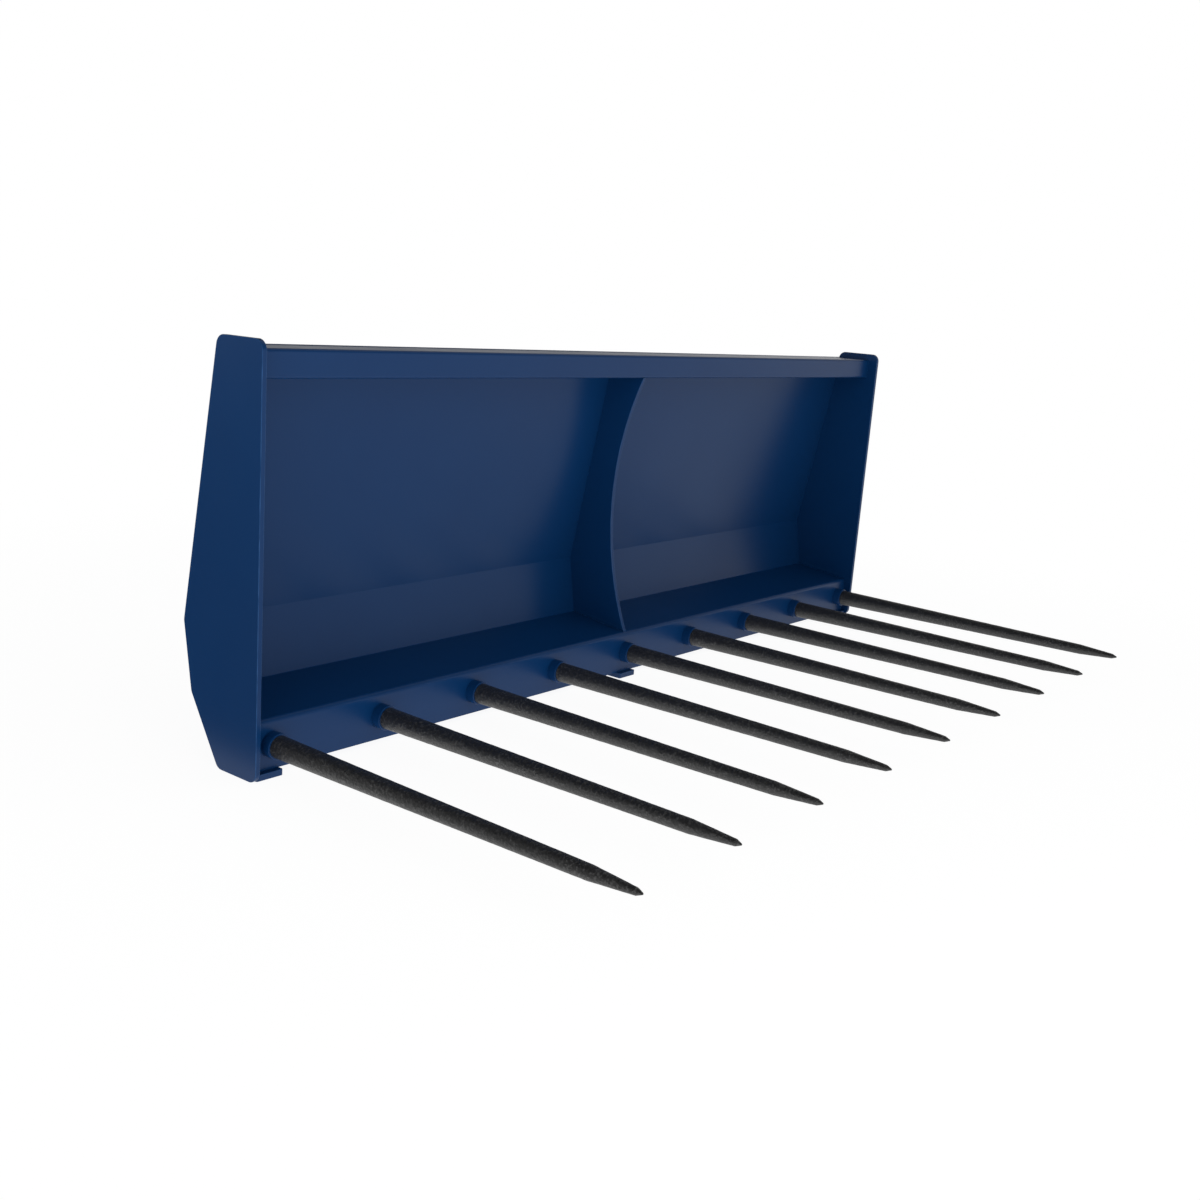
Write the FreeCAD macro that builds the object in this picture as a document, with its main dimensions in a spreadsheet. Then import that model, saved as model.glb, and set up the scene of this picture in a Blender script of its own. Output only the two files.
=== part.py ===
import FreeCAD, Part
import math
import os
import re
import Sketcher
from FreeCAD import Rotation, Vector

# Silage fork for a front loader. +X runs across the fork, the tines point along -Y, +Z is up.
# The origin is on the ground, in the middle of the centre skid's underside.
# Left and right are as seen from the tine side.

# Driving dimensions in millimetres, and the number of tines
SIZES = {
    # side plates
    "overall_width": 1800,
    "plate_height": 636,
    "plate_thickness": 8,
    "plate_corner": 16,
    "top_depth": 100,
    "foot_depth": 90,
    "haunch_depth": 156,
    "haunch_rise": 16.4,
    "belly_depth": 175,
    "belly_height": 212,
    # folded back sheet
    "sheet_thickness": 5,
    "sheet_bend": 3,
    "sheet_recess": 1,
    "apron_setback": 17.5,
    # top tube
    "tube_setback": 21,
    "tube_drop": 13.5,
    "tube_height": 42,
    "tube_wall": 4,
    "tube_bend": 1,
    # tine beam
    "beam_depth": 71,
    "beam_height": 73,
    "beam_wall": 5,
    "beam_bend": 2,
    # centre rib
    "rib_thickness": 8,
    "rib_inset": 1,
    "rib_hollow": 53,
    # skids
    "skid_width": 48,
    "skid_length": 82,
    "skid_thickness": 10,
    "skid_lip": 10,
    "skid_corner": 3,
    # tines
    "tine_count": 9,
    "tine_reach": 666,
    "tine_base": 33,
    "tine_neck": 20,
    "tine_nose": 9,
    "tine_tip": 2,
    "point_length": 80,
    "nose_length": 12,
    "shank_step": 1.5,
    "shank_gap": 2,
    "thread_diameter": 22,
    "thread_length": 32,
    "thread_chamfer": 2,
    # tine sockets
    "socket_rim": 2.5,
    "socket_reach": 18,
    "socket_tail": 6,
    "socket_edge": 1,
    "socket_gap": 15,
    # tine nuts
    "nut_width": 34,
    "nut_height": 18,
    "nut_chamfer": 1.8,
    # hitch plates
    "hitch_spacing": 1010,
    "hitch_thickness": 20,
    "hitch_corner": 14,
    "hook_reach": 35,
    "hook_rise": 400,
    "hook_slot": 44,
    "hook_mouth": 45,
    "hook_lip": 24,
    "hook_crown": 18,
    "neck_drop": 45,
    "lug_rim": 8,
    "lug_rise": 55,
    "heel_gap": 4,
    "heel_length": 30,
    # hitch bushes
    "eye_height": 160,
    "eye_diameter": 32.5,
    "bush_diameter": 56,
    "bush_length": 40,
    # seats and cuts
    "weld_gap": 0.1,
    "overrun": 5,
}

# Sizes and places worked out from the driving dimensions, each in brackets so that it can stand
# in a sum. Depths are measured to the rear from the front edges of the side plates.
inner_width = "(overall_width - 2 * plate_thickness)"
left_face = f"(-{inner_width} / 2)"
skid_front = "(apron_setback - skid_lip)"
plate_front = f"(-({skid_front} + skid_length / 2))"
beam_front = "(apron_setback + sheet_thickness + weld_gap)"
beam_rear = f"({beam_front} + beam_depth)"
beam_top = "(skid_thickness + beam_height)"
apron_top = f"({beam_top} + weld_gap + sheet_thickness)"
tube_top = "(plate_height - tube_drop)"
tube_bottom = f"({tube_top} - tube_height)"
haunch_height = f"({apron_top} + haunch_rise)"
sheet_inset = "(sheet_thickness + sheet_recess)"
lower_fold = f"(haunch_depth - {sheet_inset})"
upper_fold = f"(belly_depth - {sheet_inset})"
shank_tail = "(thread_diameter + 2 * shank_step)"
socket_diameter = "(tine_base + 2 * socket_rim)"
socket_mouth = "(apron_setback - socket_reach)"
socket_length = f"({beam_rear} + socket_tail - {socket_mouth})"
tine_height = f"((skid_thickness + {apron_top}) / 2)"
tine_margin = f"({socket_diameter} / 2 + socket_gap)"
tine_pitch = f"(({inner_width} - 2 * {tine_margin}) / (tine_count - 1))"
nut_corners = "(nut_width / cos(30 deg))"
hook_setback = "(belly_depth + hook_reach)"
hook_height = "(eye_height + hook_rise)"
hook_front = f"({hook_setback} - hook_slot / 2)"
hook_rear = f"({hook_setback} + hook_slot / 2)"
mouth_height = f"({hook_height} - hook_mouth)"
hitch_top = f"({hook_height} + hook_slot / 2 + hook_crown)"
hitch_heel = f"({tine_height} + {nut_corners} / 2 + heel_gap)"
lug_radius = "(bush_diameter / 2 + lug_rim)"

ACROSS = Vector(1, 0, 0)
UP = Vector(0, 0, 1)
UP_THE_SKETCH = Vector(0, 1, 0)

doc = FreeCAD.newDocument("SilageFork")
dimensions = doc.addObject("Spreadsheet::Sheet", "Dimensions")
for row, (name, size) in enumerate(SIZES.items(), 1):
    dimensions.set(f"A{row}", name)
    dimensions.set(f"B{row}", str(size))
    dimensions.setAlias(f"B{row}", name)
doc.recompute()

subparts = []


def cells(text):
    """The expression with each dimension's name turned into its cell of the spreadsheet."""
    def cell(word):
        return f"Dimensions.{word[0]}" if word[0] in SIZES else word[0]

    return re.sub(r"[a-z_]+", cell, str(text))


def value(text):
    """The present value of an expression."""
    return float(dimensions.evalExpression(cells(text)))


def bind(thing, **sizes):
    """Bind properties of an object to expressions of the spreadsheet's cells."""
    for name, text in sizes.items():
        thing.setExpression(name, cells(text))


def place(thing, x=0, y=plate_front, z=0, turn=None):
    """Put an object at a place given by expressions, turned about its own origin."""
    if turn:
        thing.Placement.Rotation = turn
    for axis, text in zip("xyz", (x, y, z)):
        thing.setExpression(f"Placement.Base.{axis}", cells(text))


def keep(thing, label):
    """Register a finished sub-part under the name of its file."""
    thing.Label = label
    subparts.append(thing)
    return thing


def origin_part(body, role):
    """An origin plane or axis of a body, found by its role."""
    return next(part for part in body.Origin.OriginFeatures if part.Role == role)


def new_sketch(body, name, plane):
    """An empty sketch on one of its body's origin planes."""
    sketch = body.newObject("Sketcher::SketchObject", name)
    sketch.AttachmentSupport = (origin_part(body, plane), [""])
    sketch.MapMode = "FlatFace"
    return sketch


def hold(sketch, text, kind, *geometry):
    """A dimension of a sketch, bound to an expression."""
    number = sketch.addConstraint(Sketcher.Constraint(kind, *geometry, value(text)))
    sketch.setExpression(f"Constraints[{number}]", cells(text))


def pin(sketch, geometry, end, x, y):
    """Hold a point of a sketch at a place given by two expressions."""
    for kind, axis, text in (("DistanceX", -2, x), ("DistanceY", -1, y)):
        if value(text) == 0:
            sketch.addConstraint(Sketcher.Constraint("PointOnObject", geometry, end, axis))
        else:
            hold(sketch, text, kind, -1, 1, geometry, end)


def draw(sketch, corners, closed=True):
    """Straight lines through corners given as pairs of expressions."""
    points = [Vector(value(x), value(y), 0) for x, y in corners]
    ends = points[1:] + points[:1] if closed else points[1:]
    lines = [sketch.addGeometry(Part.LineSegment(start, end)) for start, end in zip(points, ends)]
    for line, following in zip(lines, lines[1:]):
        sketch.addConstraint(Sketcher.Constraint("Coincident", line, 2, following, 1))
    if closed:
        sketch.addConstraint(Sketcher.Constraint("Coincident", lines[-1], 2, lines[0], 1))
    for line, (x, y) in zip(lines, corners):
        pin(sketch, line, 1, x, y)
    if not closed:
        pin(sketch, lines[-1], 2, *corners[-1])
    return lines


def draw_circle(sketch, x, y, radius):
    """A circle about a centre given by expressions."""
    circle = sketch.addGeometry(Part.Circle(Vector(value(x), value(y), 0), UP, value(radius)))
    pin(sketch, circle, 3, x, y)
    hold(sketch, radius, "Radius", circle)


def pad(body, sketch, length):
    """Thicken a sketch into a solid."""
    feature = body.newObject("PartDesign::Pad", "Pad")
    feature.Profile = sketch
    bind(feature, Length=length)
    doc.recompute()
    return feature


def pocket(body, sketch, backwards=False):
    """Cut a sketch right through the body, and make sure that it takes material away."""
    before = body.Shape.Volume
    feature = body.newObject("PartDesign::Pocket", "Pocket")
    feature.Profile = sketch
    feature.Type = "ThroughAll"
    feature.Reversed = backwards
    doc.recompute()
    if body.Shape.Volume >= before:
        raise RuntimeError(f"{body.Name}: the cut of {sketch.Name} takes nothing away")
    return feature


def round_edges(body, base, names, radius):
    """Round edges of a feature with one radius."""
    feature = body.newObject("PartDesign::Fillet", "Fillet")
    feature.Base = (base, names)
    bind(feature, Radius=radius)
    doc.recompute()
    return feature


def edges_along(shape, direction, wanted=lambda middle: True):
    """Names of the straight edges along a direction whose middle is wanted."""
    names = []
    for number, edge in enumerate(shape.Edges, 1):
        if not isinstance(edge.Curve, Part.Line):
            continue
        parallel = edge.Curve.Direction.cross(direction).Length < Part.Precision.confusion()
        if parallel and wanted(edge.CenterOfMass):
            names.append(f"Edge{number}")
    return names


def turned(label, corners):
    """A turned piece: the half profile (radius, place along the axis) goes round the Y axis."""
    body = doc.addObject("PartDesign::Body", label)
    sketch = new_sketch(body, "HalfProfile", "XY_Plane")
    draw(sketch, corners)
    feature = body.newObject("PartDesign::Revolution", "Revolution")
    feature.Profile = sketch
    feature.ReferenceAxis = (sketch, ["V_Axis"])
    feature.Angle = 360
    doc.recompute()
    return keep(body, label)


def panel_depth(height):
    """The depth of the upper panel's inner face at a height."""
    lean = "(belly_depth - top_depth) / (plate_height - belly_height)"
    return f"(top_depth + {lean} * (plate_height - {height}) - {sheet_inset})"


def ledge_height(depth):
    """The height of the ledge's upper face at a depth."""
    return f"({apron_top} + haunch_rise * ({depth} - apron_setback) / ({lower_fold} - apron_setback))"


def side_plate(label, x):
    """Flat side plate: upright front edge, leaning back edge, all corners rounded."""
    body = doc.addObject("PartDesign::Body", label)
    sketch = new_sketch(body, "Outline", "YZ_Plane")
    draw(sketch, [
        (0, 0),
        ("foot_depth", 0),
        ("haunch_depth", haunch_height),
        ("belly_depth", "belly_height"),
        ("top_depth", "plate_height"),
        (0, "plate_height"),
    ])
    blank = pad(body, sketch, "plate_thickness")
    round_edges(body, blank, edges_along(blank.Shape, ACROSS), "plate_corner")
    place(body, x=x)
    return keep(body, label)


def fold_path():
    """The seen face of the back sheet from the side: apron, round bend, ledge, lower and upper panel."""
    sketch = doc.addObject("Sketcher::SketchObject", "FoldPath")
    sketch.Placement.Rotation = Rotation(Vector(1, 1, 1), 120)
    corner = Vector(value("apron_setback"), value(apron_top), 0)
    fold = Vector(value(lower_fold), value(haunch_height), 0)
    radius = value("sheet_thickness + sheet_bend")
    down = -UP_THE_SKETCH
    along = (fold - corner).normalize()
    half_turn = down.getAngle(along) / 2
    reach = radius / math.tan(half_turn)
    centre = corner + (down + along).normalize() * (radius / math.sin(half_turn))
    ledge_side = math.pi / 2 + ACROSS.getAngle(along)
    foot = Vector(corner.x, value("skid_thickness"), 0)
    apron = sketch.addGeometry(Part.LineSegment(foot, corner + down * reach))
    bend = sketch.addGeometry(Part.ArcOfCircle(Part.Circle(centre, UP, radius), ledge_side, math.pi))
    ledge = sketch.addGeometry(Part.LineSegment(corner + along * reach, fold))
    panels = draw(sketch, [
        (lower_fold, haunch_height),
        (upper_fold, "belly_height"),
        (panel_depth(tube_top), tube_top),
    ], closed=False)
    pin(sketch, apron, 1, "apron_setback", "skid_thickness")
    sketch.addConstraint(Sketcher.Constraint("Vertical", apron))
    sketch.addConstraint(Sketcher.Constraint("Tangent", apron, 2, bend, 2))
    sketch.addConstraint(Sketcher.Constraint("Tangent", bend, 1, ledge, 1))
    sketch.addConstraint(Sketcher.Constraint("Coincident", ledge, 2, panels[0], 1))
    hold(sketch, "sheet_thickness + sheet_bend", "Radius", bend)
    crest = sketch.addGeometry(Part.Point(corner), True)
    pin(sketch, crest, 1, "apron_setback", apron_top)
    sketch.addConstraint(Sketcher.Constraint("PointOnObject", crest, 1, ledge))
    return sketch


def thick_sheet(name, path, thickness):
    """The path thickened to the rear, with round outer bends, and drawn out over the inner width."""
    band = doc.addObject("Part::Offset2D", f"{name}_band")
    band.Source = path
    band.Mode = "Skin"
    band.Join = "Arc"
    band.Fill = True
    bind(band, Value=thickness)
    drawn = doc.addObject("Part::Extrusion", name)
    drawn.Base = band
    drawn.DirMode = "Custom"
    drawn.Dir = ACROSS
    drawn.Solid = True
    bind(drawn, LengthFwd=inner_width)
    place(drawn, x=left_face)
    doc.recompute()
    return drawn


def back_sheet(path):
    """The folded sheet, with a row of holes through its apron, one for each socket."""
    sheet = thick_sheet("FoldedSheet", path, "sheet_thickness")
    sketch = doc.addObject("Sketcher::SketchObject", "ApronHoles")
    sketch.Placement.Rotation = Rotation(ACROSS, 90)
    for number in range(round(value("tine_count"))):
        across = f"{tine_margin} + {number} * {tine_pitch}"
        draw_circle(sketch, across, tine_height, f"{socket_diameter} / 2 + weld_gap")
    drills = doc.addObject("Part::Extrusion", "ApronDrills")
    drills.Base = sketch
    drills.DirMode = "Custom"
    drills.Dir = Vector(0, 1, 0)
    drills.Solid = True
    bind(drills, LengthFwd=beam_front)
    place(drills, x=left_face)
    drilled = doc.addObject("Part::Cut", "back_sheet")
    drilled.Base = sheet
    drilled.Tool = drills
    doc.recompute()
    return keep(drilled, "back_sheet")


def box_tube(label, front, rear, bottom, top, wall, bend):
    """Box-section tube between the side plates, with rounded corners inside and outside."""
    body = doc.addObject("PartDesign::Body", label)
    sketch = new_sketch(body, "Section", "YZ_Plane")
    draw(sketch, [(front, bottom), (rear, bottom), (rear, top), (front, top)])
    draw(sketch, [
        (f"{front} + {wall}", f"{bottom} + {wall}"),
        (f"{rear} - {wall}", f"{bottom} + {wall}"),
        (f"{rear} - {wall}", f"{top} - {wall}"),
        (f"{front} + {wall}", f"{top} - {wall}"),
    ])
    blank = pad(body, sketch, inner_width)

    def outer_corner(middle):
        return min(middle.y - value(front), value(rear) - middle.y) < value(wall) / 2

    def inner_corner(middle):
        return not outer_corner(middle)

    inside = round_edges(body, blank, edges_along(blank.Shape, ACROSS, inner_corner), bend)
    round_edges(body, inside, edges_along(inside.Shape, ACROSS, outer_corner), f"{wall} + {bend}")
    place(body, x=left_face)
    return keep(body, label)


def tine_beam():
    """Square tube across the foot, with a row of holes through both walls, one for each socket."""
    bottom = "skid_thickness"
    beam = box_tube("tine_beam", beam_front, beam_rear, bottom, beam_top, "beam_wall", "beam_bend")
    whole = beam.Shape.Volume
    sketch = new_sketch(beam, "SocketHole", "XZ_Plane")
    draw_circle(sketch, tine_margin, tine_height, f"{socket_diameter} / 2 + weld_gap")
    hole = pocket(beam, sketch)
    one_hole = whole - beam.Shape.Volume
    row = beam.newObject("PartDesign::LinearPattern", "SocketHoles")
    row.Originals = [hole]
    row.Direction = (origin_part(beam, "X_Axis"), [""])
    bind(row, Length=f"{tine_pitch} * (tine_count - 1)", Occurrences="tine_count")
    beam.Tip = row
    doc.recompute()
    if round((whole - beam.Shape.Volume) / one_hole) != value("tine_count"):
        raise RuntimeError("the beam does not have a hole for each socket")
    return beam


def center_rib():
    """Upright rib in the middle: it seats on the sheet and the top tube, and its front edge is hollow."""
    body = doc.addObject("PartDesign::Body", "center_rib")
    sketch = new_sketch(body, "Outline", "YZ_Plane")
    front = "(tube_setback + rib_inset)"
    foot = ledge_height(front)
    draw(sketch, [
        (front, foot),
        (lower_fold, haunch_height),
        (upper_fold, "belly_height"),
        (panel_depth(tube_bottom), tube_bottom),
        (front, tube_bottom),
    ])
    pad(body, sketch, "rib_thickness")
    half_height = f"(({tube_bottom} - {foot}) / 2)"
    radius = f"(({half_height}^2 + rib_hollow^2) / (2 * rib_hollow))"
    hollow = new_sketch(body, "Hollow", "YZ_Plane")
    draw_circle(hollow, f"{front} + rib_hollow - {radius}", f"{foot} + {half_height}", radius)
    pocket(body, hollow, backwards=True)
    place(body, x="-rib_thickness / 2")
    return keep(body, "center_rib")


def skid(label, x):
    """Flat skid under the beam, running front to back, its upright edges rounded."""
    body = doc.addObject("PartDesign::Body", label)
    sketch = new_sketch(body, "Outline", "XY_Plane")
    rear = f"{skid_front} + skid_length"
    draw(sketch, [(0, skid_front), ("skid_width", skid_front), ("skid_width", rear), (0, rear)])
    blank = pad(body, sketch, "skid_thickness")
    round_edges(body, blank, edges_along(blank.Shape, UP), "skid_corner")
    place(body, x=x)
    return keep(body, label)


def tine_place(number):
    """Across the fork, the place of a tine counted from the left."""
    return f"{left_face} + {tine_margin} + {number - 1} * {tine_pitch}"


def tine_socket(number):
    """Weld-in socket: a sleeve through the beam with a conical bore, wide end to the front."""
    body = turned(f"tine_socket_{number}", [
        ("tine_base / 2 + weld_gap", 0),
        (f"{socket_diameter} / 2", 0),
        (f"{socket_diameter} / 2", socket_length),
        (f"{shank_tail} / 2 + weld_gap", socket_length),
    ])
    sleeve = body.Tip
    rim = []
    for count, edge in enumerate(sleeve.Shape.Edges, 1):
        box = edge.BoundBox
        if box.YMax < value("socket_edge") and box.XLength > value("tine_base + socket_rim"):
            rim.append(f"Edge{count}")
    round_edges(body, sleeve, rim, "socket_edge")
    place(body, x=tine_place(number), y=f"{plate_front} + {socket_mouth}", z=tine_height)
    return body


def tine(number):
    """Forged tine: threaded tail, conical shank in the socket, long taper, point and blunt tip."""
    shank_end = f"({socket_length} - shank_gap)"
    thread_end = f"({socket_length} + thread_length)"
    body = turned(f"tine_{number}", [
        (0, "-tine_reach"),
        ("tine_tip / 2", "-tine_reach"),
        ("tine_nose / 2", "nose_length - tine_reach"),
        ("tine_neck / 2", "point_length - tine_reach"),
        ("tine_base / 2", 0),
        (f"{shank_tail} / 2", shank_end),
        ("thread_diameter / 2", shank_end),
        ("thread_diameter / 2", f"{thread_end} - thread_chamfer"),
        ("thread_diameter / 2 - thread_chamfer", thread_end),
        (0, thread_end),
    ])
    place(body, x=tine_place(number), y=f"{plate_front} + {socket_mouth}", z=tine_height)
    return body


def tine_nut(number):
    """Hexagon nut on the tine's tail, corners chamfered, seated on the socket's rear end."""
    label = f"tine_nut_{number}"
    prism = doc.addObject("Part::Prism", f"{label}_prism")
    prism.Polygon = 6
    bind(prism, Circumradius=f"{nut_corners} / 2", Height="nut_height")
    crown = doc.addObject("Part::Cone", f"{label}_crown")
    flare = f"nut_height * ({nut_corners} - nut_width) / 2 / nut_chamfer"
    bind(crown, Radius1=f"nut_width / 2 + {flare}", Radius2="nut_width / 2", Height="nut_height")
    blank = doc.addObject("Part::Common", f"{label}_blank")
    blank.Base = prism
    blank.Tool = crown
    bore = doc.addObject("Part::Cylinder", f"{label}_bore")
    bind(bore, Radius="thread_diameter / 2 + weld_gap", Height="nut_height + 2 * overrun")
    place(bore, y=0, z="-overrun")
    nut = doc.addObject("Part::Cut", label)
    nut.Base = blank
    nut.Tool = bore
    seat = f"{plate_front} + {socket_mouth} + {socket_length}"
    crown_to_rear = Rotation(ACROSS, -90)
    place(nut, x=tine_place(number), y=seat, z=tine_height, turn=crown_to_rear)
    doc.recompute()
    return keep(nut, label)


def hook_slot(body):
    """Slot for the loader's bar: upright walls, open below, with a half-round crown."""
    slot = new_sketch(body, "HookSlot", "YZ_Plane")
    below = f"({mouth_height} - overrun)"
    walls = draw(slot, [
        (hook_front, hook_height),
        (hook_front, below),
        (hook_rear, below),
        (hook_rear, hook_height),
    ], closed=False)
    bar = Part.Circle(Vector(value(hook_setback), value(hook_height), 0), UP, value("hook_slot / 2"))
    crown = slot.addGeometry(Part.ArcOfCircle(bar, 0, math.pi))
    slot.addConstraint(Sketcher.Constraint("Coincident", crown, 1, walls[-1], 2))
    slot.addConstraint(Sketcher.Constraint("Coincident", crown, 2, walls[0], 1))
    hold(slot, hook_height, "DistanceY", -1, 1, crown, 3)
    pocket(body, slot, backwards=True)


def hitch_plate(label, x, sheet_seat):
    """Upright hitch plate behind the sheet: hook above for the loader's bar, eye below for its pin."""
    body = doc.addObject("PartDesign::Body", f"{label}_blank")
    sketch = new_sketch(body, "Outline", "YZ_Plane")
    draw(sketch, [
        (beam_rear, hitch_heel),
        (beam_rear, ledge_height(beam_rear)),
        (lower_fold, haunch_height),
        (upper_fold, "belly_height"),
        (panel_depth(hitch_top), hitch_top),
        (f"{hook_rear} + hook_lip", hitch_top),
        (f"{hook_rear} + hook_lip", mouth_height),
        (hook_front, mouth_height),
        (hook_front, f"{mouth_height} - neck_drop"),
        (f"{hook_setback} + {lug_radius}", "eye_height + lug_rise"),
        (f"{hook_setback} + {lug_radius}", f"eye_height - {lug_radius}"),
        (f"{beam_rear} + heel_length", hitch_heel),
    ])
    blank = pad(body, sketch, "hitch_thickness")

    def rear_corner(middle):
        behind_sheet = middle.y > max(value(lower_fold), value(upper_fold)) + value("sheet_thickness")
        at_slot = abs(middle.z - value(mouth_height)) < value("overrun") and middle.y < value(hook_setback)
        return behind_sheet and not at_slot

    round_edges(body, blank, edges_along(blank.Shape, ACROSS, rear_corner), "hitch_corner")
    hook_slot(body)
    eye = new_sketch(body, "Eye", "YZ_Plane")
    draw_circle(eye, hook_setback, "eye_height", "bush_diameter / 2 + weld_gap")
    pocket(body, eye, backwards=True)
    place(body, x=x)
    plate = doc.addObject("Part::Cut", label)
    plate.Base = body
    plate.Tool = sheet_seat
    doc.recompute()
    return keep(plate, label)


def hitch_bush(label, x):
    """Ring welded into the eye of a hitch plate."""
    body = turned(label, [
        ("eye_diameter / 2", 0),
        ("bush_diameter / 2", 0),
        ("bush_diameter / 2", "bush_length"),
        ("eye_diameter / 2", "bush_length"),
    ])
    axis_across = Rotation(UP, -90)
    place(body, x=x, y=f"{plate_front} + {hook_setback}", z="eye_height", turn=axis_across)
    return body


side_plate("side_plate_left", "-overall_width / 2")
side_plate("side_plate_right", "overall_width / 2 - plate_thickness")

fold = fold_path()
back_sheet(fold)

tube_rear = f"({panel_depth(tube_top)} - weld_gap)"
box_tube("top_tube", "tube_setback", tube_rear, tube_bottom, tube_top, "tube_wall", "tube_bend")
tine_beam()
center_rib()

skid("skid_left", left_face)
skid("skid_center", "-skid_width / 2")
skid("skid_right", f"-{left_face} - skid_width")

for number in range(1, round(value("tine_count")) + 1):
    tine_socket(number)
    tine(number)
    tine_nut(number)

seat = thick_sheet("HitchSeat", fold, "sheet_thickness + weld_gap")
for side, centre in (("left", "-hitch_spacing / 2"), ("right", "hitch_spacing / 2")):
    hitch_plate(f"hitch_plate_{side}", f"{centre} - hitch_thickness / 2", seat)
    hitch_bush(f"hitch_bush_{side}", f"{centre} - bush_length / 2")

doc.recompute()

for thing in doc.Objects:
    if "Invalid" in thing.State or "Error" in thing.State:
        raise RuntimeError(f"{thing.Label} has not been built: {thing.State}")
for part in subparts:
    if part.Shape.isNull() or not part.Shape.isValid():
        raise RuntimeError(f"{part.Label} has no valid shape")
    if len(part.Shape.Solids) != 1:
        raise RuntimeError(f"{part.Label} is not one solid")

os.makedirs("parts", exist_ok=True)
for part in subparts:
    part.Shape.exportStep(f"parts/{part.Label}.step")
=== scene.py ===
import math

import bmesh
import bpy
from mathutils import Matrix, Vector
from mathutils.bvhtree import BVHTree


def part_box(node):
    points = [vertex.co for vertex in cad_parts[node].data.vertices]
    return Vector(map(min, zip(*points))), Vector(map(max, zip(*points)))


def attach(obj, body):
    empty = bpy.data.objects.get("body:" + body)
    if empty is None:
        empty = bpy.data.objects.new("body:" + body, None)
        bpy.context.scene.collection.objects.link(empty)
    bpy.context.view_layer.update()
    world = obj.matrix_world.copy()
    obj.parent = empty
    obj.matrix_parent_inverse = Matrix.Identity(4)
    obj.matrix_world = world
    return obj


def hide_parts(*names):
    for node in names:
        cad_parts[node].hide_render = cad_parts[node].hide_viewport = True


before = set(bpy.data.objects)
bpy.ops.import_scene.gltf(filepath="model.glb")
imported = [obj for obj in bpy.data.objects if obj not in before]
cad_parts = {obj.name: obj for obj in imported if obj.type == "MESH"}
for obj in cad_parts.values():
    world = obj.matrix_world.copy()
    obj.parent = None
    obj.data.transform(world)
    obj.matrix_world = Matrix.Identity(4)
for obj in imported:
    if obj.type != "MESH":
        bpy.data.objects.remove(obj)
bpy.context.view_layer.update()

# Side plates
# Two laser-cut steel plates close the ends of the fork. Their cut edges are broken with a grinder,
# then the whole welded fork is blasted and powder-coated in a deep blue, satin finish.

MM = 0.001
PLATE_EDGE = 0.9 * MM
EDGE_STEPS = 3
MERGE_REACH = 0.002 * MM
FLAT_ANGLE = math.radians(0.2)
CUT_ANGLE = math.radians(40)
CREASE_ANGLE = math.radians(38)
COAT_BLUE = (0.0030, 0.0370, 0.1320, 1.0)
COAT_BLUE_THICK = (0.0022, 0.0330, 0.1220, 1.0)
# Lighter blue for eased edges: partly thinner paint, partly a painted highlight.
COAT_BLUE_THIN_AND_HIGHLIT = (0.0350, 0.1150, 0.2900, 1.0)
COAT_CLOUD_SCALE = 3.1
EDGE_WEAR_AND_HIGHLIGHT_SCALE, EDGE_WEAR_AND_HIGHLIGHT_SHARES = 38.0, (0.1, 0.8)
COAT_SHEEN_SCALE, COAT_SHEEN = 7.0, (0.28, 0.31)
COAT_GLOSS = 0.25
PEEL_SCALE, PEEL_STRENGTH, PEEL_HEIGHT = 90.0, 0.10, 0.10 * MM
NOISE_LOW, NOISE_HIGH = 0.3, 0.7

scene = bpy.context.scene


def add_node(tree, kind, settings=(), **inputs):
    """A node of a tree; its inputs take numbers, colours or the output sockets of other nodes."""
    node = tree.nodes.new(kind)
    for name, setting in dict(settings).items():
        setattr(node, name, setting)
    for name, given in inputs.items():
        socket = node.inputs[int(name[1:]) if name[0] == "_" else name.replace("_", " ")]
        if isinstance(given, bpy.types.NodeSocket):
            tree.links.new(given, socket)
        else:
            socket.default_value = given
    return node


def new_material(name):
    """An empty material, its tree and its output node."""
    material = bpy.data.materials.new(name)
    material.use_nodes = True
    material.node_tree.nodes.clear()
    output = material.node_tree.nodes.new("ShaderNodeOutputMaterial")
    return material, material.node_tree, output


def mottle(tree, place, scale, low, high, detail=3.0):
    """A noise over the surface, spread from low to high."""
    noise = add_node(tree, "ShaderNodeTexNoise", Vector=place, Scale=scale, Detail=detail,
                     Roughness=0.55)
    spread = add_node(tree, "ShaderNodeMapRange", Value=noise.outputs["Fac"],
                      From_Min=NOISE_LOW, From_Max=NOISE_HIGH, To_Min=low, To_Max=high)
    return spread.outputs["Result"]


def blend(tree, share, first, second):
    """A colour between two colours."""
    mix = add_node(tree, "ShaderNodeMix", {"data_type": "RGBA"}, _0=share, _6=first, _7=second)
    return mix.outputs[2]


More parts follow.
